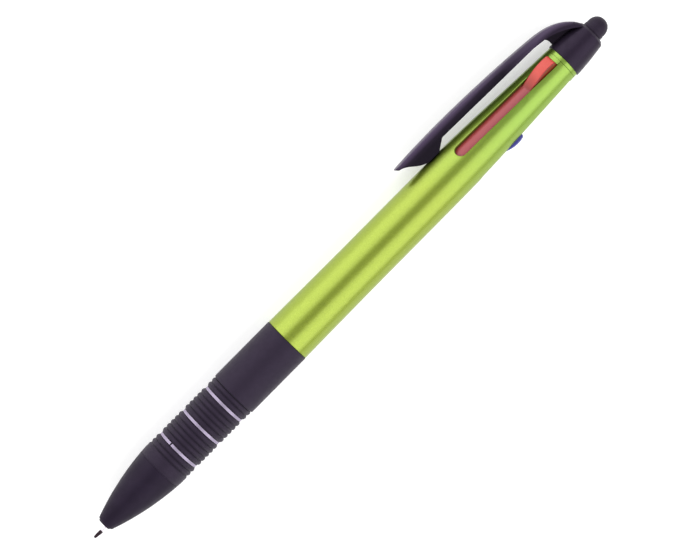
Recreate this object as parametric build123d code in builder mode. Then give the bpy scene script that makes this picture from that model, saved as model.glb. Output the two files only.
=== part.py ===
from build123d import *
from math import asin, cos, hypot, radians, sin
import os

# Three-colour pen with side sliders, a one-piece cap and clip, and a soft stylus dome.
# The pen lies along X. The origin is on its axis at the joint between grip and barrel,
# +X points to the stylus, +Y to the clip and +Z up. All sizes are in millimetres.

os.makedirs("parts", exist_ok=True)

# --- stations along the pen ---
NOSE_X = -53.6
NEEDLE_END_X = -57.0
GRIP_FRONT_X = -37.4
SPIGOT_END_X = 7.9
SLOT_FRONT_X = 51.45
BARREL_END_X = 80.0
CAP_FRONT_X = 80.9
CAP_END_X = 89.1
STYLUS_END_X = 93.0

# --- radii of the shell ---
NOSE_FACE_R = 1.45
NOSE_EDGE = 0.4
NOSE_HOLE_R = 1.2
NOSE_REAR_R = 5.2
CORE_R = 4.25
CORE_BORE_R = 3.6
SPIGOT_R = 4.12
COUNTERBORE_R = 4.4
GRIP_R = 5.38
RIB_R = 5.3
RIB_VALLEY_R = 5.02
BARREL_FRONT_R = 5.33
BARREL_WAIST_X = 20.0
BARREL_WAIST_R = 5.18
BARREL_MID_R = 5.17
BARREL_TAPER_X = 52.0
BARREL_BLEND_R = 337.0
BARREL_END_R = 3.92
BARREL_EDGE = 0.12
BARREL_WALL = 0.87
BARREL_BORE_R = 4.25
CAP_FRONT_R = 4.1
CAP_END_R = 3.35
STYLUS_R = 2.3

# --- colours, as the angle about the pen from +Z towards the clip at +Y ---
COLOURS = {"red": 32, "black": 152, "blue": -88}
TRAVEL = 14.8
SHIFT = {"red": 0.0, "black": 0.0, "blue": -TRAVEL}

# --- refills: they run parallel at REFILL_R and lean in to the nose hole when extended ---
REFILL_R = 2.15
REFILL_TIP_R_OUT = 0.45
REFILL_TIP_R_IN = 1.44
FLEX_LENGTH = 28.0
TUBE_R = 1.1
TUBE_BORE_R = 0.75
NEEDLE_R = 0.36
NEEDLE_BORE_R = 0.15
NEEDLE_LENGTH = 6.0
BALL_R = 0.25
HOLDER_R = 1.08
HOLDER_BORE_R = 0.25
HOLDER_LENGTH = 8.5
JOINT_DEPTH = 3.0
BEND_GAP = 0.15
LEAN_OUT = asin((REFILL_R - REFILL_TIP_R_OUT) / FLEX_LENGTH)
LEAN_IN = asin((REFILL_R - REFILL_TIP_R_IN) / FLEX_LENGTH)
FLEX_X = NEEDLE_END_X + FLEX_LENGTH * cos(LEAN_OUT) + TRAVEL
LEAN = {"red": LEAN_IN, "black": LEAN_IN, "blue": LEAN_OUT}

# --- thread of the spigot that screws into the barrel ---
THREAD_START_X = 1.2
THREAD_PITCH = 1.0
THREAD_TURNS = 6
THREAD_R = 4.36

# --- ribs and rings of the grip ---
RING_PITCH = 6.6
RING_X = (-31.75, -31.75 + RING_PITCH, -31.75 + 2 * RING_PITCH)
RING_WIDTH = 0.6
RING_R = 4.98
RING_FLOOR_R = 4.5
RING_CLEARANCE = 0.04
RING_SPLIT = 4.2
NOTCH_WIDTH = 0.8
RIBS_PER_PANEL = 5
RIB_PITCH = (RING_PITCH - NOTCH_WIDTH) / RIBS_PER_PANEL
RIBS_FRONT = 3
RIBS_REAR = 2
RING_SPLIT_ANGLE = {"front": 29, "middle": 205, "rear": 160}

# --- sliders ---
SLOT_WIDTH = 2.7
SLOT_EDGE = 0.1
KNOB_WIDTH = 2.5
KNOB_EDGE_ROUND = 0.3
KNOB_FRONT_X = 70.9
KNOB_FOOT_R = 2.3
STEM_WIDTH = 2.8
STEM_INNER_R = 1.75
COLLAR_R = 1.7
COLLAR_FRONT_X = 45.9
STEM_FRONT_X = 47.9
KNOB_REAR_X = 79.0
PLUG_LENGTH = 4.0

# --- springs ---
SPRING_SEAT_X = 10.9
SPRING_WIRE = 0.35
SPRING_R = 1.43
SPRING_COILS = 16
SPRING_GAP = 0.06

# --- small allowances ---
FIT = 0.02
SLACK = 0.12


def side_plane(angle, x=0.0):
    """Plane through the pen's axis: local x along the pen, local y outward at angle."""
    outward = Vector(0, sin(radians(angle)), cos(radians(angle)))
    return Plane(origin=(x, 0, 0), x_dir=(1, 0, 0), z_dir=Vector(1, 0, 0).cross(outward))


def top_plane(angle):
    """Plane on the pen's axis that faces outward at angle, with local x along the pen."""
    outward = (0, sin(radians(angle)), cos(radians(angle)))
    return Plane(origin=(0, 0, 0), x_dir=(1, 0, 0), z_dir=outward)


def section_plane(x):
    """Plane across the pen at x, seen from the stylus: local x is +Y, local y is +Z."""
    return Plane(origin=(x, 0, 0), x_dir=(0, 1, 0), z_dir=(1, 0, 0))


def refill_plane(name):
    """Plane of one refill's front: origin at its flex point, local x towards its tip."""
    side = side_plane(COLOURS[name])
    outward = side.y_dir
    lean = LEAN[name]
    origin = Vector(FLEX_X + SHIFT[name], 0, 0) + outward * REFILL_R
    towards_tip = Vector(-cos(lean), 0, 0) - outward * sin(lean)
    return Plane(origin=origin, x_dir=towards_tip, z_dir=side.z_dir)


def at_angle(radius, angle):
    """Y and Z of a point at this radius and angle about the pen."""
    return radius * sin(radians(angle)), radius * cos(radians(angle))


def save(piece, name):
    """Label a finished piece and write its STEP file."""
    piece.part.label = name
    export_step(piece.part, f"parts/{name}.step")


# =====================================================================
# Front section: nose and core, rubber sleeve, three trim rings
# =====================================================================

with BuildPart() as front_barrel:
    with BuildSketch(Plane.XY):
        with BuildLine():
            nose_edge = (NOSE_X + NOSE_EDGE, NOSE_FACE_R + NOSE_EDGE)
            nose_arc = ThreePointArc(nose_edge, (-45.6, 4.0), (GRIP_FRONT_X, NOSE_REAR_R))
            Polyline(
                nose_arc @ 1,
                (GRIP_FRONT_X, CORE_R),
                (0, CORE_R),
                (0, SPIGOT_R),
                (SPIGOT_END_X - 0.3, SPIGOT_R),
                (SPIGOT_END_X, SPIGOT_R - 0.22),
                (SPIGOT_END_X, CORE_BORE_R),
                (-34.6, CORE_BORE_R),
                (-37.6, 3.45),
                (-43.6, 2.9),
                (-49.6, 1.95),
                (-51.6, 1.5),
                (NOSE_X + 0.9, NOSE_HOLE_R),
                (NOSE_X, NOSE_HOLE_R),
                (NOSE_X, NOSE_FACE_R),
            )
            RadiusArc((NOSE_X, NOSE_FACE_R), nose_edge, -NOSE_EDGE)
        make_face()
    revolve(axis=Axis.X)
    for turn in range(THREAD_TURNS):
        ridge_x = THREAD_START_X + turn * THREAD_PITCH
        with BuildSketch(Plane.XY):
            Polygon((ridge_x, SPIGOT_R - FIT), (ridge_x + 0.25, THREAD_R),
                    (ridge_x + 0.45, THREAD_R), (ridge_x + 0.7, SPIGOT_R - FIT), align=None)
        revolve(axis=Axis.X)
save(front_barrel, "front_barrel")

with BuildPart() as grip_sleeve:
    with BuildSketch(Plane.XY):
        with BuildLine():
            first_rib_x = RING_X[0] - NOTCH_WIDTH / 2 - RIBS_FRONT * RIB_PITCH
            last_rib_x = RING_X[2] + NOTCH_WIDTH / 2 + RIBS_REAR * RIB_PITCH
            Polyline((first_rib_x, RIB_VALLEY_R), (first_rib_x, RIB_R),
                     (GRIP_FRONT_X + FIT, NOSE_REAR_R),
                     (GRIP_FRONT_X + FIT, CORE_R + FIT), (0, CORE_R + FIT), (0, GRIP_R),
                     (last_rib_x + 0.4, GRIP_R), (last_rib_x, RIB_VALLEY_R))
            pen_point = (first_rib_x, RIB_VALLEY_R)
            panels = (RIBS_FRONT, RIBS_PER_PANEL, RIBS_PER_PANEL, RIBS_REAR)
            for panel, ribs in enumerate(panels):
                for rib in range(ribs):
                    start_x = pen_point[0]
                    ThreePointArc(pen_point, (start_x + RIB_PITCH / 2, RIB_R),
                                  (start_x + RIB_PITCH, RIB_VALLEY_R))
                    pen_point = (start_x + RIB_PITCH, RIB_VALLEY_R)
                if panel < len(RING_X):
                    floor_front = RING_X[panel] - RING_WIDTH / 2 - RING_CLEARANCE
                    floor_rear = RING_X[panel] + RING_WIDTH / 2 + RING_CLEARANCE
                    next_point = (RING_X[panel] + NOTCH_WIDTH / 2, RIB_VALLEY_R)
                    Polyline(pen_point, (floor_front, RING_FLOOR_R), (floor_rear, RING_FLOOR_R),
                             next_point)
                    pen_point = next_point
        make_face()
    revolve(axis=Axis.X)
save(grip_sleeve, "grip_sleeve")

for (place, split_angle), ring_x in zip(RING_SPLIT_ANGLE.items(), RING_X):
    with BuildPart() as accent_ring:
        with BuildSketch(section_plane(ring_x - RING_WIDTH / 2)):
            Circle(RING_R)
            Circle(RING_FLOOR_R + FIT, mode=Mode.SUBTRACT)
        extrude(amount=RING_WIDTH)
        # the ring is split so that it can be sprung over the sleeve
        with BuildSketch(top_plane(split_angle)):
            with Locations((ring_x, 0)):
                Rectangle(2 * RING_WIDTH, 2 * RING_R * sin(radians(RING_SPLIT / 2)))
        extrude(amount=GRIP_R, mode=Mode.SUBTRACT)
    save(accent_ring, f"accent_ring_{place}")

# =====================================================================
# Barrel with three slots, end collar, guide disc, latch core
# =====================================================================

taper_slope = (BARREL_MID_R - BARREL_END_R) / (BARREL_END_X - BARREL_TAPER_X)
inner_taper_x = BARREL_END_X - (BARREL_BORE_R - (BARREL_END_R - BARREL_WALL)) / taper_slope


def bore_radius(x):
    """Inner radius of the barrel at x, behind its front counterbore."""
    return min(BARREL_BORE_R, BARREL_END_R - BARREL_WALL + taper_slope * (BARREL_END_X - x))


with BuildPart() as upper_barrel:
    with BuildSketch(Plane.XY):
        with BuildLine():
            FilletPolyline((0, BARREL_FRONT_R - BARREL_EDGE), (BARREL_EDGE, BARREL_FRONT_R),
                           (BARREL_WAIST_X, BARREL_WAIST_R), (BARREL_TAPER_X, BARREL_MID_R),
                           (BARREL_END_X, BARREL_END_R),
                           radius=(0.1, 2 * BARREL_BLEND_R, BARREL_BLEND_R))
            Polyline(
                (BARREL_END_X, BARREL_END_R),
                (BARREL_END_X, bore_radius(BARREL_END_X)),
                (inner_taper_x, BARREL_BORE_R),
                (SPRING_SEAT_X + FIT, BARREL_BORE_R),
                (SPRING_SEAT_X + FIT, COUNTERBORE_R),
                (0, COUNTERBORE_R),
                (0, BARREL_FRONT_R - BARREL_EDGE),
            )
        make_face()
    revolve(axis=Axis.X)
    for angle in COLOURS.values():
        with BuildSketch(top_plane(angle)):
            slot_length = BARREL_END_X + 1 - SLOT_FRONT_X - SLOT_WIDTH / 2
            with Locations((SLOT_FRONT_X + SLOT_WIDTH / 2 + slot_length / 2, 0)):
                Rectangle(slot_length, SLOT_WIDTH)
            with Locations((SLOT_FRONT_X + SLOT_WIDTH / 2, 0)):
                Circle(SLOT_WIDTH / 2)
        extrude(amount=BARREL_FRONT_R + 1, mode=Mode.SUBTRACT)
    # break the sharp rims of the slots on the outside
    slot_rims = [
        edge
        for edge in upper_barrel.edges()
        if edge.geom_type in (GeomType.HYPERBOLA, GeomType.BSPLINE)
        and hypot(edge.center().Y, edge.center().Z) > BARREL_BORE_R + FIT
    ]
    chamfer(slot_rims, length=SLOT_EDGE)
save(upper_barrel, "upper_barrel")

# The collar closes the slots' open ends; its tongues hold the three prongs apart.
TONGUE_FRONT_X = 77.2
TONGUE_R = 2.45
TONGUE_WIDTH = 1.0
TONGUE_THICKNESS = 0.8
BETWEEN_SLOTS = 60
TAB_FRONT_X = KNOB_REAR_X + SLACK
TAB_WIDTH = SLOT_WIDTH - 3 * FIT
TAB_INNER_R = 2.6
COLLAR_EDGE = 0.09
NECK_END_X = 86.3
NECK_R = 3.1
CORE_HOLE_R = 1.9
with BuildPart() as end_collar:
    with BuildSketch(Plane.XY):
        Polygon((BARREL_END_X + FIT, CORE_HOLE_R),
                (BARREL_END_X + FIT, BARREL_END_R - FIT - COLLAR_EDGE),
                (BARREL_END_X + FIT + COLLAR_EDGE, BARREL_END_R - FIT),
                (CAP_FRONT_X, BARREL_END_R - 3 * FIT), (CAP_FRONT_X, NECK_R),
                (NECK_END_X, NECK_R), (NECK_END_X, CORE_HOLE_R), align=None)
    revolve(axis=Axis.X)
    for angle in COLOURS.values():
        with BuildSketch(section_plane(TONGUE_FRONT_X)):
            with Locations(at_angle(TONGUE_R, angle + BETWEEN_SLOTS)):
                Rectangle(TONGUE_WIDTH, TONGUE_THICKNESS, rotation=-(angle + BETWEEN_SLOTS))
        extrude(amount=BARREL_END_X - TONGUE_FRONT_X + 0.5)
    # tabs that fill the open ends of the slots, flush with the barrel
    with BuildPart(mode=Mode.PRIVATE) as tabs:
        with BuildSketch(section_plane(TAB_FRONT_X)):
            for angle in COLOURS.values():
                with Locations(at_angle(BARREL_END_R, angle)):
                    Rectangle(TAB_WIDTH, 2 * (BARREL_END_R - TAB_INNER_R), rotation=-angle)
        extrude(amount=BARREL_END_X + 2 * FIT - TAB_FRONT_X)
        with BuildSketch(Plane.XY):
            tab_rise = taper_slope * (BARREL_END_X - TAB_FRONT_X)
            Polygon((TAB_FRONT_X, 0), (TAB_FRONT_X, BARREL_END_R + tab_rise - FIT),
                    (BARREL_END_X, BARREL_END_R - FIT), (BARREL_END_X + 2 * FIT, BARREL_END_R - FIT),
                    (BARREL_END_X + 2 * FIT, 0), align=None)
        revolve(axis=Axis.X, mode=Mode.INTERSECT)
    add(tabs.part)
save(end_collar, "end_collar")

with BuildPart() as guide_disc:
    with BuildSketch(section_plane(SPIGOT_END_X + 0.1)):
        Circle(COUNTERBORE_R - 2 * FIT)
        for angle in COLOURS.values():
            with Locations(at_angle(REFILL_R, angle)):
                Circle(TUBE_R + SLACK, mode=Mode.SUBTRACT)
    extrude(amount=SPRING_SEAT_X - SPIGOT_END_X - 0.1)
    rims = guide_disc.edges().filter_by(GeomType.CIRCLE).sort_by(SortBy.RADIUS)[-2:]
    chamfer(rims, length=0.2)
save(guide_disc, "guide_disc")

# The post that hangs from the collar: an extended slider's tail dips behind its step.
LATCH_STEP_X = KNOB_REAR_X - TRAVEL + 0.2
POST_FRONT_X = 48.4
POST_R = 1.25
LATCH_R = 1.6
HEAD_R = 2.5
HEAD_THICKNESS = 0.8
with BuildPart() as latch_core:
    with BuildSketch(Plane.XY):
        Polygon((POST_FRONT_X, 0), (POST_FRONT_X, POST_R - 0.3), (POST_FRONT_X + 0.3, POST_R),
                (LATCH_STEP_X, POST_R), (LATCH_STEP_X, LATCH_R), (BARREL_END_X, LATCH_R),
                (BARREL_END_X, CORE_HOLE_R - FIT), (NECK_END_X + FIT, CORE_HOLE_R - FIT),
                (NECK_END_X + FIT, HEAD_R), (NECK_END_X + HEAD_THICKNESS, HEAD_R),
                (NECK_END_X + HEAD_THICKNESS, 0), align=None)
    revolve(axis=Axis.X)
save(latch_core, "latch_core")

# =====================================================================
# Cap with clip, stylus dome
# =====================================================================

CLIP_WIDTH = 5.4
CLIP_TIP_WIDTH = 4.0
CLIP_EDGE_ROUND = 1.3
WEB_THICKNESS = 1.0
PLUG_R = 1.5
outer_line = ((40.3, 9.0), (50.0, 9.33), (66.0, 9.0), (78.0, 8.2), (84.1, 7.05), (87.3, 5.1),
              (88.9, 2.9))

with BuildPart() as clip_cap:
    # spine of the clip, from its tip over to the end of the cap
    with BuildSketch(Plane.XY):
        with BuildLine():
            spine = Spline(*outer_line)
            inner = Spline((88.3, 2.5), (86.9, 3.6), (84.6, 4.95), (80.9, 6.12))
            Line(spine @ 1, inner @ 0)
            underside = FilletPolyline(inner @ 1, (78.0, 6.48), (66.0, 6.67), (52.0, 6.92),
                                       (49.5, 5.26), (47.2, 5.24), radius=(2, 40, 0.6, 0.3))
            foot = Spline(underside @ 1, (45.5, 5.6), (44.3, 6.3), (42.9, 7.45), (40.9, 8.35))
            Line(foot @ 1, spine @ 0)
        make_face()
    extrude(amount=CLIP_WIDTH / 2, both=True)
    outer_edges = clip_cap.edges().filter_by(GeomType.BSPLINE).group_by(SortBy.LENGTH)[-1]
    fillet(outer_edges, radius=CLIP_EDGE_ROUND)
    # seen from above the clip narrows to a rounded tip
    with BuildSketch(Plane.XZ.offset(-12)):
        with BuildLine():
            tip = ThreePointArc((41.6, -CLIP_TIP_WIDTH / 2), (40.1, 0), (41.6, CLIP_TIP_WIDTH / 2))
            Polyline(tip @ 1, (72.0, CLIP_WIDTH / 2), (92.0, CLIP_WIDTH / 2),
                     (92.0, -CLIP_WIDTH / 2), (72.0, -CLIP_WIDTH / 2), tip @ 0)
        make_face()
    extrude(amount=14, mode=Mode.INTERSECT)
    # thinner web between spine and cap, rounded where the gap under the clip ends
    with BuildSketch(Plane.XY):
        with BuildLine():
            gap_end = ThreePointArc((81.7, 4.9), (81.35, 5.75), (80.5, 6.35))
            Polyline(gap_end @ 1, (84.6, 5.5), (87.4, 3.8), (88.5, 2.6), (81.7, 2.6), gap_end @ 0)
        make_face()
    extrude(amount=WEB_THICKNESS / 2, both=True)
    # body of the cap
    with BuildSketch(Plane.XY):
        with BuildLine():
            side = ThreePointArc((CAP_FRONT_X + 0.1, CAP_FRONT_R), (85.0, 3.82),
                                 (CAP_END_X - 0.5, CAP_END_R))
            Polyline(side @ 1, (CAP_END_X, 2.85), (CAP_END_X, 0), (CAP_FRONT_X, 0),
                     (CAP_FRONT_X, CAP_FRONT_R - 0.1), side @ 0)
        make_face()
    revolve(axis=Axis.X)
    with BuildSketch(Plane.XY):
        Polygon((CAP_FRONT_X - 1, 0), (CAP_FRONT_X - 1, NECK_R + FIT), (NECK_END_X, NECK_R + FIT),
                (NECK_END_X, HEAD_R + 0.1), (NECK_END_X + HEAD_THICKNESS + 0.1, HEAD_R + 0.1),
                (NECK_END_X + HEAD_THICKNESS + 0.1, PLUG_R + FIT), (CAP_END_X + 1, PLUG_R + FIT),
                (CAP_END_X + 1, 0), align=None)
    revolve(axis=Axis.X, mode=Mode.SUBTRACT)
save(clip_cap, "clip_cap")

with BuildPart() as stylus_tip:
    with BuildSketch(Plane.XY):
        with BuildLine():
            dome_x = STYLUS_END_X - STYLUS_R
            dome_top = (dome_x + STYLUS_R * cos(radians(45)), STYLUS_R * sin(radians(45)))
            dome = ThreePointArc((dome_x, STYLUS_R), dome_top, (STYLUS_END_X, 0))
            Polyline(dome @ 1, (NECK_END_X + HEAD_THICKNESS + 0.2, 0),
                     (NECK_END_X + HEAD_THICKNESS + 0.2, PLUG_R), (CAP_END_X + FIT, PLUG_R),
                     (CAP_END_X + FIT, STYLUS_R), dome @ 0)
        make_face()
    revolve(axis=Axis.X)
save(stylus_tip, "stylus_tip")

# =====================================================================
# One slider, refill and spring for each colour
# =====================================================================

for name, angle in COLOURS.items():
    shift = SHIFT[name]
    side = side_plane(angle, shift)

    with BuildPart() as slider:
        # stem that runs under the slot
        with BuildSketch(side):
            with Locations((STEM_FRONT_X, STEM_INNER_R)):
                Rectangle(KNOB_REAR_X - STEM_FRONT_X, BARREL_BORE_R, align=(Align.MIN, Align.MIN))
        extrude(amount=STEM_WIDTH / 2, both=True)
        with BuildSketch(side):
            Polygon((STEM_FRONT_X, 0), (STEM_FRONT_X, BARREL_BORE_R - SLACK),
                    (inner_taper_x, BARREL_BORE_R - SLACK),
                    (KNOB_REAR_X, bore_radius(KNOB_REAR_X) - SLACK), (KNOB_REAR_X, 0), align=None)
        revolve(axis=Axis.X, mode=Mode.INTERSECT)
        # knob that stands up through the slot
        with BuildPart(mode=Mode.PRIVATE) as knob:
            with BuildSketch(side):
                with BuildLine():
                    crest = Spline((KNOB_FRONT_X, 3.2), (74.2, 4.7), (76.6, 5.28), (78.4, 5.15),
                                   tangents=((0.92, 0.39), (0.97, -0.24)))
                    rear = ThreePointArc(crest @ 1, (78.83, 4.96), (KNOB_REAR_X, 4.62))
                    Polyline(rear @ 1, (KNOB_REAR_X, KNOB_FOOT_R), (KNOB_FRONT_X, KNOB_FOOT_R),
                             crest @ 0)
                make_face()
            extrude(amount=KNOB_WIDTH / 2, both=True)
            curved = knob.edges().filter_by(GeomType.BSPLINE)
            round_ends = knob.edges().filter_by(GeomType.CIRCLE)
            fillet(curved + round_ends, radius=KNOB_EDGE_ROUND)
        add(knob.part)
        # collar for the spring and plug for the refill
        with BuildSketch(section_plane(COLLAR_FRONT_X + shift)):
            with Locations(at_angle(REFILL_R, angle)):
                Circle(COLLAR_R)
        extrude(amount=STEM_FRONT_X - COLLAR_FRONT_X + SLACK)
        with BuildSketch(section_plane(COLLAR_FRONT_X + shift - PLUG_LENGTH)):
            with Locations(at_angle(REFILL_R, angle)):
                Circle(TUBE_BORE_R - FIT)
        extrude(amount=PLUG_LENGTH + SLACK)
    save(slider, f"slider_{name}")

    with BuildPart() as ink_tube_rear:
        with BuildSketch(section_plane(FLEX_X + shift + BEND_GAP)):
            with Locations(at_angle(REFILL_R, angle)):
                Circle(TUBE_R)
                Circle(TUBE_BORE_R, mode=Mode.SUBTRACT)
        extrude(amount=COLLAR_FRONT_X - FIT - FLEX_X - BEND_GAP)
    save(ink_tube_rear, f"ink_tube_rear_{name}")

    refill = refill_plane(name)
    refill_axis = Axis(origin=refill.origin, direction=refill.x_dir)
    holder_end = FLEX_LENGTH - NEEDLE_LENGTH
    tube_end = holder_end - HOLDER_LENGTH
    with BuildPart() as ink_tube_front:
        with BuildSketch(refill):
            with Locations((BEND_GAP, TUBE_BORE_R)):
                Rectangle(tube_end - BEND_GAP, TUBE_R - TUBE_BORE_R, align=(Align.MIN, Align.MIN))
        revolve(axis=refill_axis)
    save(ink_tube_front, f"ink_tube_front_{name}")

    with BuildPart() as tip_holder:
        with BuildSketch(refill):
            Polygon((tube_end - JOINT_DEPTH, HOLDER_BORE_R),
                    (tube_end - JOINT_DEPTH, TUBE_BORE_R - FIT),
                    (tube_end + FIT, TUBE_BORE_R - FIT), (tube_end + FIT, HOLDER_R),
                    (tube_end + 0.8, HOLDER_R - 0.04), (holder_end, 0.6),
                    (holder_end, NEEDLE_R + FIT / 2),
                    (holder_end - JOINT_DEPTH, NEEDLE_R + FIT / 2),
                    (holder_end - JOINT_DEPTH, HOLDER_BORE_R), align=None)
        revolve(axis=refill_axis)
    save(tip_holder, f"tip_holder_{name}")

    with BuildPart() as needle:
        with BuildSketch(refill):
            needle_rear = holder_end - JOINT_DEPTH + SLACK
            cup_floor = FLEX_LENGTH - 2 * BALL_R - FIT
            Polygon((needle_rear, NEEDLE_BORE_R), (needle_rear, NEEDLE_R),
                    (FLEX_LENGTH - 0.6, NEEDLE_R), (FLEX_LENGTH - 0.15, BALL_R + 0.05),
                    (FLEX_LENGTH - 0.15, BALL_R + 0.01), (cup_floor, BALL_R + 0.01),
                    (cup_floor, NEEDLE_BORE_R), align=None)
        revolve(axis=refill_axis)
    save(needle, f"needle_{name}")

    with BuildPart() as ball:
        ball_centre = refill.origin + refill.x_dir * (FLEX_LENGTH - BALL_R)
        with Locations(ball_centre):
            Sphere(BALL_R)
    save(ball, f"writing_ball_{name}")

    spring_front = SPRING_SEAT_X + SPRING_WIRE / 2 + SPRING_GAP
    spring_rear = COLLAR_FRONT_X + shift - SPRING_WIRE / 2 - SPRING_GAP
    spring_length = spring_rear - spring_front
    spring_centre = (spring_front, *at_angle(REFILL_R, angle))
    with BuildPart() as spring:
        with BuildLine() as coil:
            Helix(pitch=spring_length / SPRING_COILS, height=spring_length, radius=SPRING_R,
                  center=spring_centre, direction=(1, 0, 0))
        with BuildSketch(Plane(origin=coil.line @ 0, z_dir=coil.line % 0)):
            Circle(SPRING_WIRE / 2)
        sweep(is_frenet=True)
    save(spring, f"spring_{name}")
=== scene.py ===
import math

import bmesh
import bpy
from mathutils import Matrix, Vector


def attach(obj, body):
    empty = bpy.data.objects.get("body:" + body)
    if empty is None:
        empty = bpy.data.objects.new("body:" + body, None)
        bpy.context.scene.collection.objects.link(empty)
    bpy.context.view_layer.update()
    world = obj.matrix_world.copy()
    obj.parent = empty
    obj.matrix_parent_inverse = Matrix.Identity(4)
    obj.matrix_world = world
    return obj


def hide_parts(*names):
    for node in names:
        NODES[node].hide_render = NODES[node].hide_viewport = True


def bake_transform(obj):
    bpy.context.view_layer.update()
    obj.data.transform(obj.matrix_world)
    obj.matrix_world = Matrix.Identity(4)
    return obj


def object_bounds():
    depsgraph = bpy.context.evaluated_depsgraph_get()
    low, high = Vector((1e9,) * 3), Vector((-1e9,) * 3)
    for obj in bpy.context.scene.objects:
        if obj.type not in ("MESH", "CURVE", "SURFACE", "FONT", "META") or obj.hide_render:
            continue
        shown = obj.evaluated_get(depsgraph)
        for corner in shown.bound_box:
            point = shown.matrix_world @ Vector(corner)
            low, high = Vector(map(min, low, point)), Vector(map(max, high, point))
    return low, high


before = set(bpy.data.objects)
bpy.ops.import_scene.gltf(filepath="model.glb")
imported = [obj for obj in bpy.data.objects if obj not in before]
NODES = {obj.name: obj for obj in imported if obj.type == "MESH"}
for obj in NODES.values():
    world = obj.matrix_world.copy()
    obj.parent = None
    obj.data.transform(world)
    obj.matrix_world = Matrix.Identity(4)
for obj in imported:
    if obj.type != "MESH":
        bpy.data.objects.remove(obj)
cad_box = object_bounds()

# The pen lies along X: nose at -X, stylus at +X, clip at +Y, and +Z is up. Distances and sizes of
# the camera, lights and floor are in metres. Stations along X, heights along Y and radii of the
# pen itself are in millimetres, and take a factor of MM on their way into the scene.
MM = 0.001
COLOURS = {"red": 32, "black": 152, "blue": -88}
TRAVEL = 14.8


# ---------------------------------------------------------------- camera, light and floor

CAMERA_ROLL = math.radians(7)
CAMERA_TILT = math.radians(45.27)
CAMERA_DISTANCE = 551 * MM
CAMERA_LENS = 137.4
SENSOR_WIDTH = 36
TARGET_STATION = 17.9 * MM
TARGET_ASIDE = -0.53 * MM
LIGHT_STATION = 18 * MM
LIGHT_ANGLE = math.radians(50)
LIGHT_DISTANCE = 0.5
LIGHT_WIDTH = 0.58
LIGHT_LENGTH = 0.9
LIGHT_POWER = 3.15
# The surround fades between these cosines of the angle from towards_camera, which leans from
# straight up by CAMERA_ROLL.
SURROUND_COSINE = 0.6
OVERHEAD_COSINE = 0.985
SURROUND_STRENGTH = 0.62
OVERHEAD_STRENGTH = 0.4
WHITE = (1, 1, 1, 1)
FLOOR_SIZE = 4
FLOOR_TONE = (0.78, 0.78, 0.78, 1)
FLOOR_GLOW = 0.38

towards_camera = Vector((0, math.sin(CAMERA_ROLL), math.cos(CAMERA_ROLL)))
across = Vector((0, math.cos(CAMERA_ROLL), -math.sin(CAMERA_ROLL)))
along = Vector((1, 0, 0))


def make_camera():
    """Camera above the pen, a little towards the clip, so that the pen rises to the right."""
    right = along * math.cos(CAMERA_TILT) - across * math.sin(CAMERA_TILT)
    up = along * math.sin(CAMERA_TILT) + across * math.cos(CAMERA_TILT)
    target = along * TARGET_STATION + across * TARGET_ASIDE
    data = bpy.data.cameras.new("camera")
    data.sensor_width = SENSOR_WIDTH
    data.lens = CAMERA_LENS
    data.clip_start = 0.01
    camera = bpy.data.objects.new("camera", data)
    camera.location = target + towards_camera * CAMERA_DISTANCE
    camera.rotation_euler = Matrix((right, up, towards_camera)).transposed().to_euler()
    bpy.context.scene.collection.objects.link(camera)
    bpy.context.scene.camera = camera


def make_softboxes():
    """Two long softboxes, one on each side of the pen."""
    for side in (1, -1):
        data = bpy.data.lights.new(f"softbox_{side}", "AREA")
        data.shape = "RECTANGLE"
        data.size = LIGHT_LENGTH
        data.size_y = LIGHT_WIDTH
        data.energy = LIGHT_POWER
        light = bpy.data.objects.new(data.name, data)
        outward = towards_camera * math.cos(LIGHT_ANGLE) + across * side * math.sin(LIGHT_ANGLE)
        sideways = outward.cross(along)
        light.location = along * LIGHT_STATION + outward * LIGHT_DISTANCE
        light.rotation_euler = Matrix((along, sideways, outward)).transposed().to_euler()
        bpy.context.scene.collection.objects.link(light)


def make_surround():
    """A white surround that is dimmer overhead."""
    world = bpy.data.worlds.new("studio")
    world.use_nodes = True
    nodes = world.node_tree.nodes
    links = world.node_tree.links
    direction = nodes.new("ShaderNodeTexCoord")
    height = nodes.new("ShaderNodeVectorMath")
    height.operation = "DOT_PRODUCT"
    height.inputs[1].default_value = towards_camera
    links.new(direction.outputs["Generated"], height.inputs[0])
    fade = nodes.new("ShaderNodeMapRange")
    fade.inputs["From Min"].default_value = SURROUND_COSINE
    fade.inputs["From Max"].default_value = OVERHEAD_COSINE
    fade.inputs["To Min"].default_value = SURROUND_STRENGTH
    fade.inputs["To Max"].default_value = OVERHEAD_STRENGTH
    links.new(height.outputs["Value"], fade.inputs["Value"])
    background = nodes["Background"]
    background.inputs["Color"].default_value = WHITE
    links.new(fade.outputs["Result"], background.inputs["Strength"])
    bpy.context.scene.world = world
    bpy.context.scene.view_settings.view_transform = "Standard"


def make_floor():
    """Plain pale floor under the pen's lowest point, with a little light of its own."""
    bpy.ops.mesh.primitive_plane_add(size=FLOOR_SIZE, location=(0, 0, cad_box[0].z))
    floor = bpy.context.object
    floor.name = "floor"
    material = bpy.data.materials.new("floor")
    material.use_nodes = True
    shader = material.node_tree.nodes["Principled BSDF"]
    shader.inputs["Base Color"].default_value = FLOOR_TONE
    shader.inputs["Roughness"].default_value = 0.9
    shader.inputs["Emission Color"].default_value = WHITE
    shader.inputs["Emission Strength"].default_value = FLOOR_GLOW
    floor.data.materials.append(material)


# ---------------------------------------------------------------- materials

def srgb(red, green, blue):
    """Linear colour of an 8-bit screen colour."""
    def linear(value):
        share = value / 255
        return share / 12.92 if share < 0.04045 else ((share + 0.055) / 1.055) ** 2.4
    return (linear(red), linear(green), linear(blue), 1)


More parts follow.
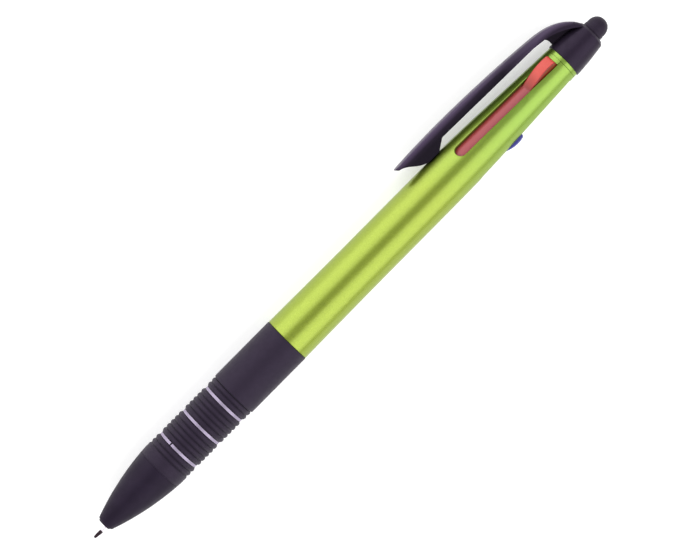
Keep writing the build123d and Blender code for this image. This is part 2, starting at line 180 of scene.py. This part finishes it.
# Input and output numbers of a Mix node's colours, whose names its other types share.
MIX_COLOURS = (6, 7)
MIX_RESULT = 2


class Surface:
    """A procedural material on the Principled shader, in the object's own coordinates."""

    def __init__(self, name, **values):
        self.material = bpy.data.materials.new(name)
        self.material.use_nodes = True
        self.nodes = self.material.node_tree.nodes
        self.links = self.material.node_tree.links
        self.shader = self.nodes["Principled BSDF"]
        for socket, value in values.items():
            self.shader.inputs[socket.replace("_", " ")].default_value = value
        self.place = self.nodes.new("ShaderNodeTexCoord").outputs["Object"]

    def stretched(self, x=1.0, y=1.0, z=1.0):
        """Coordinates in millimetres, divided by these lengths along each axis."""
        mapping = self.nodes.new("ShaderNodeMapping")
        mapping.inputs["Scale"].default_value = (1 / (x * MM), 1 / (y * MM), 1 / (z * MM))
        self.links.new(self.place, mapping.inputs["Vector"])
        return mapping.outputs["Vector"]

    def noise(self, size, detail=2.0, stretch=(1, 1, 1)):
        """Cloudy pattern whose features are about size millimetres across."""
        texture = self.nodes.new("ShaderNodeTexNoise")
        texture.inputs["Scale"].default_value = 1.0
        texture.inputs["Detail"].default_value = detail
        vector = self.stretched(*(size * share for share in stretch))
        self.links.new(vector, texture.inputs["Vector"])
        return texture.outputs["Fac"]

    def cells(self, size):
        """A random value for each cell of about size millimetres."""
        texture = self.nodes.new("ShaderNodeTexVoronoi")
        texture.inputs["Scale"].default_value = 1.0
        self.links.new(self.stretched(size, size, size), texture.inputs["Vector"])
        split = self.nodes.new("ShaderNodeSeparateColor")
        self.links.new(texture.outputs["Color"], split.inputs["Color"])
        return split.outputs["Red"]

    def vector_math(self, operation, vector, constant=None):
        """A vector math node on a socket and, where it takes one, a constant."""
        node = self.nodes.new("ShaderNodeVectorMath")
        node.operation = operation
        self.links.new(vector, node.inputs[0])
        if constant is not None:
            node.inputs[1].default_value = constant
        return node

    def radius(self):
        """Distance from the pen's axis in millimetres."""
        section = self.vector_math("MULTIPLY", self.place, (0, 1 / MM, 1 / MM))
        return self.vector_math("LENGTH", section.outputs["Vector"]).outputs["Value"]

    def reach(self, station, height):
        """Distance in millimetres from a point given by X and Y, whatever the Z."""
        plan = self.vector_math("MULTIPLY", self.place, (1 / MM, 1 / MM, 0))
        centre = (station, height, 0)
        return self.vector_math("DISTANCE", plan.outputs["Vector"], centre).outputs["Value"]

    def station(self):
        """Distance along the pen in millimetres."""
        scaled = self.stretched()
        split = self.nodes.new("ShaderNodeSeparateXYZ")
        self.links.new(scaled, split.inputs["Vector"])
        return split.outputs["X"]

    def offset(self, direction):
        """Distance in millimetres from the plane through the axis that is square to direction."""
        product = self.vector_math("DOT_PRODUCT", self.place, direction / MM)
        size = self.nodes.new("ShaderNodeMath")
        size.operation = "ABSOLUTE"
        self.links.new(product.outputs["Value"], size.inputs[0])
        return size.outputs["Value"]

    def spread(self, value, low, high, start=0.3, end=0.7):
        """Value from start to end becomes low to high."""
        node = self.nodes.new("ShaderNodeMapRange")
        node.inputs["From Min"].default_value = start
        node.inputs["From Max"].default_value = end
        node.inputs["To Min"].default_value = low
        node.inputs["To Max"].default_value = high
        self.links.new(value, node.inputs["Value"])
        return node.outputs["Result"]

    def product(self, first, *others):
        """All these values multiplied together."""
        for other in others:
            node = self.nodes.new("ShaderNodeMath")
            node.operation = "MULTIPLY"
            self.links.new(first, node.inputs[0])
            self.links.new(other, node.inputs[1])
            first = node.outputs["Value"]
        return first

    def mix(self, share, first, second):
        """Colour that goes from first to second as share goes from 0 to 1."""
        node = self.nodes.new("ShaderNodeMix")
        node.data_type = "RGBA"
        self.links.new(share, node.inputs["Factor"])
        for socket, colour in zip(MIX_COLOURS, (first, second)):
            if isinstance(colour, tuple):
                node.inputs[socket].default_value = colour
            else:
                self.links.new(colour, node.inputs[socket])
        return node.outputs[MIX_RESULT]

    def colour(self, source):
        self.links.new(source, self.shader.inputs["Base Color"])

    def roughness(self, source):
        self.links.new(source, self.shader.inputs["Roughness"])

    def bump(self, height, depth):
        """Relief of depth millimetres."""
        node = self.nodes.new("ShaderNodeBump")
        node.inputs["Distance"].default_value = depth * MM
        node.inputs["Strength"].default_value = 1.0
        self.links.new(height, node.inputs["Height"])
        self.links.new(node.outputs["Normal"], self.shader.inputs["Normal"])


# The lacquer's flakes and clouding, the greener tone that it nears between two stations, how
# near it gets, and the tint of its reflections.
FLAKE = (0.216, 0.282, 0.026, 1)
BRIGHT_FLAKE = (0.296, 0.374, 0.046, 1)
LACQUER_CLOUD = (0.256, 0.330, 0.036, 1)
REAR_LACQUER = (0.196, 0.334, 0.048, 1)
REAR_LACQUER_STATIONS = (42, 66)
REAR_LACQUER_SHARE = 0.75
LACQUER_SHINE = (0.62, 0.70, 0.36, 1)

# Plum cast of the dark plastics and rubbers, and the two tones of the cap.
PLUM = (0.82, 0.64, 0.98, 1)
CHARCOAL = srgb(28, 22, 33)
PALE_CHARCOAL = srgb(34, 27, 40)

# A knob's sides and its lower part take painted shade, so that its top looks paler. The top
# fades in between these distances from the pen's axis, and out between these from the knob's
# middle plane. The stem's tone gives way to the knob's over this length.
KNOB_SHADE_RADII = (3.5, 5.0)
KNOB_SIDE_SHADE_OFFSETS = (1.02, 1.18)
STEM_FADE = 0.4

# The clip's painted shade on its flank and painted highlight along its crown. They apply above
# this height, change over from its straight part to its bend between these stations, and on the
# straight part fade with height as these pairs say.
CLIP_FOOT_HEIGHT = 4.3
CLIP_BEND_STATIONS = (70, 84)
CLIP_FLANK_SHADE_HEIGHTS = (7.2, 8.6)
CLIP_CROWN_HIGHLIGHT_HEIGHTS = (8.0, 8.9)
CLIP_FLANK_SHADE = srgb(8, 7, 11)
CLIP_CROWN_HIGHLIGHT = srgb(66, 55, 76)
BEND_CROWN_HIGHLIGHT = srgb(70, 59, 80)

# The clip's web takes nearly black painted shade inside a circle with this centre, as X and Y,
# and this radius, and the clip's bend takes a painted highlight outside it. The web's faces lie
# closer to the pen's middle plane than the first of these distances.
WEB_CENTRE = (81.3, -3.6)
WEB_R = 9.55
WEB_OFFSETS = (0.52, 0.7)
WEB_SHADE = srgb(13, 10, 15)
BEND_FADE = (0.2, 1.2)
SHORT_FADE = 0.2

# The dark end of a needle, measured back from the tip.
DARK_TIP_LENGTHS = (2.06, 2.14)
DARK_STEEL = (srgb(34, 27, 32), srgb(58, 46, 52))
STEEL = (srgb(196, 188, 196), srgb(226, 220, 226))


def lacquer():
    """Lime metallic lacquer: fine flakes under a soft clear coat, greener towards the cap."""
    s = Surface("lime_lacquer", Metallic=0.84, Coat_Weight=0.6, Coat_Roughness=0.2, Coat_IOR=1.45,
                Specular_Tint=LACQUER_SHINE)
    flakes = s.mix(s.cells(0.07), FLAKE, BRIGHT_FLAKE)
    tone = s.mix(s.spread(s.noise(4.0), 0.0, 0.25), flakes, LACQUER_CLOUD)
    greener = s.spread(s.station(), 0.0, REAR_LACQUER_SHARE, *REAR_LACQUER_STATIONS)
    s.colour(s.mix(greener, tone, REAR_LACQUER))
    s.roughness(s.spread(s.noise(0.5), 0.34, 0.40))
    s.bump(s.noise(0.12), 0.003)
    return s.material


def moulded_plastic(name, tone, pale, roughness, grain=0.14, depth=0.008, stem=None, wall=None,
                    front=0, across=None, **values):
    """Moulded plastic with a fine grain and slight clouding.

    A slider also has a stem, the duller tone inside its slot. front is the station where its
    knob begins, wall the painted shade on the knob's sides and low down on it, and across the
    direction between its two sides.
    """
    s = Surface(name, **values)
    cloud = s.mix(s.spread(s.noise(3.0, 4.0), 0.0, 1.0), tone, pale)
    if stem:
        # Painted shade: the wall tone darkens the knob low down and on its sides, which leaves its
        # top paler.
        cloud = s.mix(s.spread(s.radius(), 0.8, 0.0, *KNOB_SHADE_RADII), cloud, wall)
        cloud = s.mix(s.spread(s.offset(across), 0.0, 1.0, *KNOB_SIDE_SHADE_OFFSETS), cloud, wall)
        cloud = s.mix(s.spread(s.station(), 0.0, 1.0, front, front + STEM_FADE), stem, cloud)
    s.colour(cloud)
    s.roughness(s.spread(s.noise(1.2, 3.0), roughness - 0.05, roughness + 0.05))
    s.bump(s.noise(grain, 3.0), depth)
    return s.material


def cap_plastic():
    """The cap's plastic: a painted highlight along the clip's crown, painted shade on its flank and
    web.
    """
    s = Surface("cap_plastic", Specular_IOR_Level=0.2, Specular_Tint=PLUM)
    cloud = s.mix(s.spread(s.noise(3.0, 4.0), 0.0, 1.0), CHARCOAL, PALE_CHARCOAL)
    reach = s.reach(*WEB_CENTRE)
    height = s.offset(Vector((0, 1, 0)))
    on_clip = s.spread(height, 0.0, 1.0, CLIP_FOOT_HEIGHT, CLIP_FOOT_HEIGHT + SHORT_FADE)
    straight = s.spread(s.station(), 1.0, 0.0, *CLIP_BEND_STATIONS)
    bend = s.spread(s.station(), 0.0, 1.0, *CLIP_BEND_STATIONS)
    # Painted shade on the flank and painted highlight along the crown of the clip's straight part.
    flank_shade = s.product(on_clip, straight, s.spread(height, 1.0, 0.0, *CLIP_FLANK_SHADE_HEIGHTS))
    cloud = s.mix(flank_shade, cloud, CLIP_FLANK_SHADE)
    crown_highlight = s.product(on_clip, straight, s.spread(height, 0.0, 1.0, *CLIP_CROWN_HIGHLIGHT_HEIGHTS))
    cloud = s.mix(crown_highlight, cloud, CLIP_CROWN_HIGHLIGHT)
    # Painted highlight along the crown of the clip's bend.
    fade_start, fade_end = (WEB_R + length for length in BEND_FADE)
    crown_highlight = s.product(on_clip, bend, s.spread(reach, 0.0, 1.0, fade_start, fade_end))
    cloud = s.mix(crown_highlight, cloud, BEND_CROWN_HIGHLIGHT)
    # Nearly black painted shade on the clip's web.
    web_shade = s.product(s.spread(reach, 1.0, 0.0, WEB_R, WEB_R + SHORT_FADE),
                    s.spread(s.offset(Vector((0, 0, 1))), 1.0, 0.0, *WEB_OFFSETS))
    s.colour(s.mix(web_shade, cloud, WEB_SHADE))
    s.roughness(s.spread(s.noise(1.2, 3.0), 0.36, 0.46))
    s.bump(s.noise(0.14, 3.0), 0.008)
    return s.material


def soft_rubber(name, tone, pale, valley_r=None, crest_r=None):
    """Matt soft-touch rubber, which grows a little paler from valley_r out to crest_r."""
    s = Surface(name, Sheen_Weight=0.04, Sheen_Roughness=0.5, Specular_IOR_Level=0.24,
                Specular_Tint=PLUM)
    cloud = s.mix(s.spread(s.noise(2.5, 4.0), 0.0, 0.6), tone, pale)
    if crest_r:
        cloud = s.mix(s.spread(s.radius(), 0.0, 0.5, valley_r, crest_r), cloud, pale)
    s.colour(cloud)
    s.roughness(s.spread(s.noise(0.8, 3.0), 0.50, 0.62))
    s.bump(s.noise(0.1, 3.0), 0.010)
    return s.material


def turned_metal(name, tone, pale, roughness, groove=0.05, metallic=1.0):
    """Metal turned or drawn about the pen's axis, with fine lines round it."""
    s = Surface(name, Metallic=metallic)
    lines = s.noise(1.0, 3.0, (groove, 4, 4))
    s.colour(s.mix(s.spread(lines, 0.0, 1.0), tone, pale))
    s.roughness(s.spread(s.noise(0.6), roughness - 0.06, roughness + 0.06))
    s.bump(lines, 0.002)
    return s.material


def needle_metal(name, end_x):
    """Steel of a needle with its tip at station end_x, dark over its last two millimetres."""
    s = Surface(name, Metallic=1.0)
    streaks = s.noise(0.2, 2.0, (3, 1, 1))
    steel = s.mix(s.spread(streaks, 0.0, 1.0), *STEEL)
    dark = s.mix(s.spread(streaks, 0.0, 1.0), *DARK_STEEL)
    start, end = (end_x + length for length in DARK_TIP_LENGTHS)
    s.colour(s.mix(s.spread(s.station(), 1.0, 0.0, start, end), steel, dark))
    s.roughness(s.spread(s.noise(0.3), 0.25, 0.38))
    s.bump(streaks, 0.002)
    return s.material


def ink_tube_plastic(name, ink, wall):
    """Clear tube wall with ink behind it."""
    s = Surface(name, Subsurface_Weight=0.15, Subsurface_Scale=0.6 * MM, Coat_Weight=0.5,
                Coat_Roughness=0.08)
    s.colour(s.mix(s.spread(s.noise(2.0, 3.0, (4, 1, 1)), 0.0, 0.45), ink, wall))
    s.roughness(s.spread(s.noise(0.7), 0.18, 0.30))
    s.bump(s.noise(0.3, 2.0, (6, 1, 1)), 0.004)
    return s.material


# ---------------------------------------------------------------- pieces made here

# Stations, radii and lengths in millimetres. They follow the CAD parts but are not all equal to
# them: the valleys between the rubber's ribs are 0.04 deeper here, for one.
GRIP_FRONT = -37.4
NOSE_REAR_R = 5.2
CORE_R = 4.27
GRIP_R = 5.38
RIB_R = 5.29
VALLEY_R = 4.98
VALLEY_TONE_R = 4.95
RIB_WIDTH = 1.16
RIBS = (3, 5, 5, 2)
RIB_STEPS = 12
RIB_FULLNESS = 0.85
RIB_SHORTENING = 0.999
FIRST_VALLEY_RISE = 0.8
FIRST_RING_STATION = -31.75
NOTCH_HALF = 0.4
NOTCH_FLOOR_R = 4.48
CAP_END = 89.12
STYLUS_END = 93.0
STYLUS_R = 2.28
STYLUS_PLUG_R = 1.48
STYLUS_PLUG_LENGTH = 1.5
STYLUS_FOOT = 1.3
DOME_STEPS = 24
DOME_FULLNESS = 0.92
REFILL_R = 2.15
FLEX_LENGTH = 28.0
HALF_BEND = 3.0
BEND_STEPS = 8
TUBE_R = 1.1
TUBE_BORE_R = 0.75
NEEDLE_LENGTH = 6.0
HOLDER_LENGTH = 8.5
TUBE_END = FLEX_LENGTH - NEEDLE_LENGTH - HOLDER_LENGTH
COLLAR_FRONT = 45.9
KNOB_FRONT = 71.0
NEEDLE_END = -57.0
TIP_R_OUT = 0.45
TIP_R_IN = 1.44
SPRING_SEAT = 10.9
SPRING_R = 1.43
SPRING_GAP = 0.06
WIRE_R = 0.175
COILS = 16
CLOSED_TURNS = 1.5
CLOSED_PITCH_IN_WIRE_RADII = 2.2
STEPS_PER_TURN = 20

# Outline of a needle, in distance from the flex point of its refill and in radius.
NEEDLE_OUTLINE = [(19.12, 0.36), (25.85, 0.36), (25.92, 0.44), (26.1, 0.44), (27.4, 0.35),
                  (27.84, 0.285), (27.84, 0.26), (27.48, 0.26), (27.4, 0.15), (19.12, 0.15)]


def outward_of(colour):
    """Direction from the pen's axis to a slider."""
    angle = math.radians(COLOURS[colour])
    return Vector((0, math.sin(angle), math.cos(angle)))


def stored_shift(colour):
    """How far along X a slider is stored from its rear end of travel, in millimetres."""
    return -TRAVEL if colour == "blue" else 0


def ring_of(maker, centre, side, up, radius, count):
    """Vertices of a circle in the plane of side and up, in millimetres."""
    ring = []
    for step in range(count):
        turn = 2 * math.pi * step / count
        arm = side * math.cos(turn) + up * math.sin(turn)
        ring.append(maker.verts.new((centre + arm * radius) * MM))
    return ring


def bridge(maker, first, second, count):
    """Faces between two rings of count vertices, either of which may be a single point."""
    for step in range(count):
        following = (step + 1) % count
        corners = [first[step % len(first)], first[following % len(first)],
                   second[following % len(second)], second[step % len(second)]]
        maker.faces.new(list(dict.fromkeys(corners)))


def revolved(name, outline, closed, origin=Vector(), axis=Vector((1, 0, 0)), segments=128):
    """Surface of revolution through (station, radius) points in mm, about a line along axis."""
    side = axis.orthogonal().normalized()
    up = axis.cross(side)
    maker = bmesh.new()
    rings = []
    for station, radius in outline:
        centre = origin + axis * station
        if radius < 0.001:
            rings.append([maker.verts.new(centre * MM)])
        else:
            rings.append(ring_of(maker, centre, side, up, radius, segments))
    for first, second in zip(rings, rings[1:] + rings[:1] if closed else rings[1:]):
        bridge(maker, first, second, segments)
    return as_object(name, maker)


def tube_rings(maker, points, directions, radius, sides, reference):
    """Rings of a tube along points in mm, square to the directions and turned by reference."""
    rings = []
    for point, direction in zip(points, directions):
        side = direction.cross(reference).normalized()
        up = direction.cross(side).normalized()
        rings.append(ring_of(maker, point, side, up, radius, sides))
    return rings


def wire(name, points, directions, radius, sides=10):
    """Solid round wire along points in mm."""
    maker = bmesh.new()
    rings = tube_rings(maker, points, directions, radius, sides, Vector((1, 0, 0)))
    for first, second in zip(rings, rings[1:]):
        bridge(maker, first, second, sides)
    maker.faces.new(rings[0])
    maker.faces.new(rings[-1])
    return as_object(name, maker)


def hollow_tube(name, points, directions, outer, inner, sides=32):
    """Open tube with a wall, along points in mm."""
    maker = bmesh.new()
    outside, inside = (tube_rings(maker, points, directions, radius, sides, Vector((0, 1, 0.3)))
                       for radius in (outer, inner))
    loop = outside + inside[::-1]
    for first, second in zip(loop, loop[1:] + loop[:1]):
        bridge(maker, first, second, sides)
    return as_object(name, maker)


def as_object(name, maker):
    """Smooth-shaded object of a bmesh, with its normals outward and sharp edges kept."""
    bmesh.ops.recalc_face_normals(maker, faces=maker.faces)
    mesh = bpy.data.meshes.new(name)
    maker.to_mesh(mesh)
    maker.free()
    for face in mesh.polygons:
        face.use_smooth = True
    mesh.set_sharp_from_angle(angle=math.radians(40))
    piece = bpy.data.objects.new(name, mesh)
    bpy.context.scene.collection.objects.link(piece)
    return piece


def finish_piece(piece, material, slot, *nodes):
    """Give a piece its material and hide these CAD nodes, for which it stands. slot is not used."""
    piece.data.materials.append(material)
    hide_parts(*nodes)


def arc(centre_station, centre_r, radius, start, end, steps):
    """Points of an arc in a station and radius outline. Angles are in degrees from +X."""
    points = []
    for step in range(steps + 1):
        angle = math.radians(start + (end - start) * step / steps)
        points.append((centre_station + radius * math.cos(angle),
                       centre_r + radius * math.sin(angle)))
    return points


def grip_outline():
    """Rubber sleeve: rounded ribs in groups, with a groove for each trim ring between them."""
    start = FIRST_RING_STATION - NOTCH_HALF - RIBS[0] * RIB_WIDTH
    outline = [(GRIP_FRONT + 0.02, CORE_R), (GRIP_FRONT + 0.02, NOSE_REAR_R - 0.06)]
    outline += [(GRIP_FRONT + 0.1, NOSE_REAR_R), (start - 0.25, RIB_R), (start - 0.1, RIB_R - 0.03)]
    for group, count in enumerate(RIBS):
        for rib in range(count):
            for step in range(RIB_STEPS + 1):
                share = step / RIB_STEPS
                rise = math.sin(math.pi * share) ** RIB_FULLNESS
                # The step down to the first rib is only a shallow crease.
                if group == 0 and rib == 0 and share < 0.5:
                    rise = FIRST_VALLEY_RISE + (1 - FIRST_VALLEY_RISE) * rise
                # Ribs end just short of each other, so that no two points coincide.
                outline.append((start + share * RIB_WIDTH * RIB_SHORTENING,
                                VALLEY_R + (RIB_R - VALLEY_R) * rise))
            start += RIB_WIDTH
        if group < len(RIBS) - 1:
            outline += [(start + 0.05, NOTCH_FLOOR_R),
                        (start + 2 * NOTCH_HALF - 0.05, NOTCH_FLOOR_R)]
            start += 2 * NOTCH_HALF
    outline += [(start + 0.12, GRIP_R - 0.1), (start + 0.3, GRIP_R - 0.02), (start + 0.5, GRIP_R)]
    outline += arc(-0.14, GRIP_R - 0.12, 0.12, 90, 0, 5)
    outline += [(-0.02, CORE_R)]
    return outline


def dome_outline():
    """Stylus dome: a plug in the cap, a short foot with a soft shoulder, then a blunt end."""
    outline = [(CAP_END - STYLUS_PLUG_LENGTH, 0), (CAP_END - STYLUS_PLUG_LENGTH, STYLUS_PLUG_R),
               (CAP_END, STYLUS_PLUG_R)]
    outline += [(CAP_END, STYLUS_R), (CAP_END + 0.06, STYLUS_R + 0.05)]
    outline += [(CAP_END + 0.85, STYLUS_R + 0.05), (CAP_END + 0.98, STYLUS_R - 0.02)]
    length = STYLUS_END - CAP_END - STYLUS_FOOT
    for step in range(DOME_STEPS + 1):
        angle = math.pi / 2 * step / DOME_STEPS
        radius = STYLUS_R * math.cos(angle) ** DOME_FULLNESS if step < DOME_STEPS else 0
        outline.append((STYLUS_END - length + length * math.sin(angle) ** DOME_FULLNESS, radius))
    return outline


def refill_line(colour):
    """Flex point of a refill in mm, and the direction from it to the tip."""
    outward = outward_of(colour)
    lean_out = math.asin((REFILL_R - TIP_R_OUT) / FLEX_LENGTH)
    tip_r = TIP_R_OUT if colour == "blue" else TIP_R_IN
    lean = math.asin((REFILL_R - tip_r) / FLEX_LENGTH)
    station = NEEDLE_END + FLEX_LENGTH * math.cos(lean_out) + TRAVEL + stored_shift(colour)
    flex = Vector((station, 0, 0)) + outward * REFILL_R
    return flex, Vector((-1, 0, 0)) * math.cos(lean) - outward * math.sin(lean)


def make_refill(colour):
    """Ink tube in one piece that bends at the flex point, and the needle."""
    flex, towards_tip = refill_line(colour)
    rear = COLLAR_FRONT - 0.02 + stored_shift(colour) - flex.x
    back = Vector((1, 0, 0))
    points = [flex + back * rear]
    directions = [back]
    # The bend is a quadratic curve from bend_rear to bend_front.
    for step in range(BEND_STEPS + 1):
        share = step / BEND_STEPS
        first = flex + back * HALF_BEND * (1 - share)
        second = flex + towards_tip * HALF_BEND * share
        points.append(first * (1 - share) + second * share)
        directions.append((back * (1 - share) - towards_tip * share).normalized())
    points.append(flex + towards_tip * TUBE_END)
    directions.append(-towards_tip)
    tube = hollow_tube(f"ink_tube_{colour}_soft", points, directions, TUBE_R, TUBE_BORE_R)
    finish_piece(tube, INKS[colour], f"ink_{colour}", f"ink_tube_rear_{colour}",
                 f"ink_tube_front_{colour}")
    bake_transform(tube)
    needle = revolved(f"needle_{colour}_turned", NEEDLE_OUTLINE, True, flex, towards_tip, 40)
    finish_piece(needle, needle_metal(f"needle_{colour}", (flex + towards_tip * FLEX_LENGTH).x),
                 "needle_steel", f"needle_{colour}")
    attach(needle, f"refill_{colour}")


def make_spring(colour):
    """Compression spring with closed ends, which shortens as its slider comes forward."""
    outward = outward_of(colour)
    side = Vector((1, 0, 0)).cross(outward)
    start = SPRING_SEAT + WIRE_R + SPRING_GAP
    end = COLLAR_FRONT + stored_shift(colour) - WIRE_R - SPRING_GAP
    length = end - start
    dead = CLOSED_TURNS * CLOSED_PITCH_IN_WIRE_RADII * WIRE_R
    steps = COILS * STEPS_PER_TURN
    points = []
    for step in range(steps + 1):
        turns = COILS * step / steps
        if turns < CLOSED_TURNS:
            station = start + dead * turns / CLOSED_TURNS
        elif turns > COILS - CLOSED_TURNS:
            station = end - dead * (COILS - turns) / CLOSED_TURNS
        else:
            share = (turns - CLOSED_TURNS) / (COILS - 2 * CLOSED_TURNS)
            station = start + dead + (length - 2 * dead) * share
        turn = 2 * math.pi * turns
        arm = outward * (REFILL_R + SPRING_R * math.cos(turn)) + side * SPRING_R * math.sin(turn)
        points.append(Vector((station, 0, 0)) + arm)
    directions = [points[1] - points[0]]
    directions += [after - before for before, after in zip(points, points[2:])]
    directions += [points[-1] - points[-2]]
    spring = wire(f"spring_{colour}_coil", points, [d.normalized() for d in directions], WIRE_R)
    finish_piece(spring, WIRE, "spring_steel", f"spring_{colour}")
    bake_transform(spring)


def make_pieces():
    grip = revolved("rubber_grip", grip_outline(), True)
    finish_piece(grip, GRIP, "grip_rubber", "grip_sleeve")
    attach(grip, "shell")
    dome = revolved("stylus_dome", dome_outline(), False, segments=64)
    finish_piece(dome, DOME, "stylus_rubber", "stylus_tip")
    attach(dome, "shell")
    for colour in COLOURS:
        make_refill(colour)
        make_spring(colour)


# ---------------------------------------------------------------- the scene

make_camera()
make_softboxes()
make_surround()
make_floor()

LIME = lacquer()
CAP = cap_plastic()
NOSE = moulded_plastic("nose_plastic", srgb(23, 18, 29), srgb(29, 23, 36), 0.5,
                       Specular_IOR_Level=0.17, Specular_Tint=PLUM)
GRIP = soft_rubber("grip_rubber", srgb(28, 23, 34), srgb(34, 28, 40), VALLEY_TONE_R, RIB_R)
DOME = soft_rubber("stylus_rubber", srgb(27, 22, 32), srgb(33, 27, 38))
TRIM = turned_metal("plated_trim", srgb(138, 127, 149), srgb(158, 147, 170), 0.45, 0.05, 0.45)
# Each knob's tone, its paler clouding, its stem, and the painted shade on its sides.
KNOB_TONES = {
    "red": (srgb(188, 58, 46), srgb(196, 64, 52), srgb(154, 54, 62), srgb(118, 20, 14)),
    "black": (srgb(26, 25, 28), srgb(38, 37, 41), srgb(26, 25, 28), srgb(18, 17, 20)),
    "blue": (srgb(84, 86, 178), srgb(94, 96, 186), srgb(60, 60, 128), srgb(50, 50, 132)),
}
KNOBS = {}
for colour, (tone, pale, stem, wall) in KNOB_TONES.items():
    sideways = Vector((1, 0, 0)).cross(outward_of(colour)) * -1
    KNOBS[colour] = moulded_plastic(f"knob_{colour}", tone, pale, 0.36, 0.3, 0.004, stem, wall,
                                    KNOB_FRONT + stored_shift(colour), sideways)
INKS = {
    "red": ink_tube_plastic("ink_red", srgb(170, 22, 26), srgb(226, 120, 118)),
    "black": ink_tube_plastic("ink_black", srgb(20, 20, 24), srgb(120, 120, 126)),
    "blue": ink_tube_plastic("ink_blue", srgb(24, 34, 140), srgb(118, 128, 214)),
}
BRASS = turned_metal("nickel_brass", srgb(196, 176, 132), srgb(220, 204, 164), 0.28)
NEEDLE = turned_metal("needle_steel", *STEEL, 0.3)
CARBIDE = turned_metal("carbide", srgb(90, 90, 96), srgb(130, 130, 136), 0.2)
WIRE = turned_metal("spring_wire", srgb(170, 170, 176), srgb(206, 206, 212), 0.3, 0.4)
NATURAL = moulded_plastic("natural_plastic", srgb(222, 221, 214), srgb(236, 235, 229), 0.45)

# CAD nodes take the material of the first of these that their name begins with.
MATERIALS = {
    "upper_barrel": LIME,
    "end_collar": LIME,
    "front_barrel": NOSE,
    "grip_sleeve": GRIP,
    "clip_cap": CAP,
    "stylus_tip": DOME,
    "accent_ring": TRIM,
    "needle": NEEDLE,
    "tip_holder": BRASS,
    "writing_ball": CARBIDE,
    "spring": WIRE,
    "guide_disc": NATURAL,
    "latch_core": NATURAL,
}
for colour in COLOURS:
    MATERIALS[f"ink_tube_rear_{colour}"] = MATERIALS[f"ink_tube_front_{colour}"] = INKS[colour]
    MATERIALS[f"slider_{colour}"] = KNOBS[colour]
for name, node in NODES.items():
    node.data.materials.clear()
    node.data.materials.append(
        next(material for start, material in MATERIALS.items() if name.startswith(start)))

make_pieces()
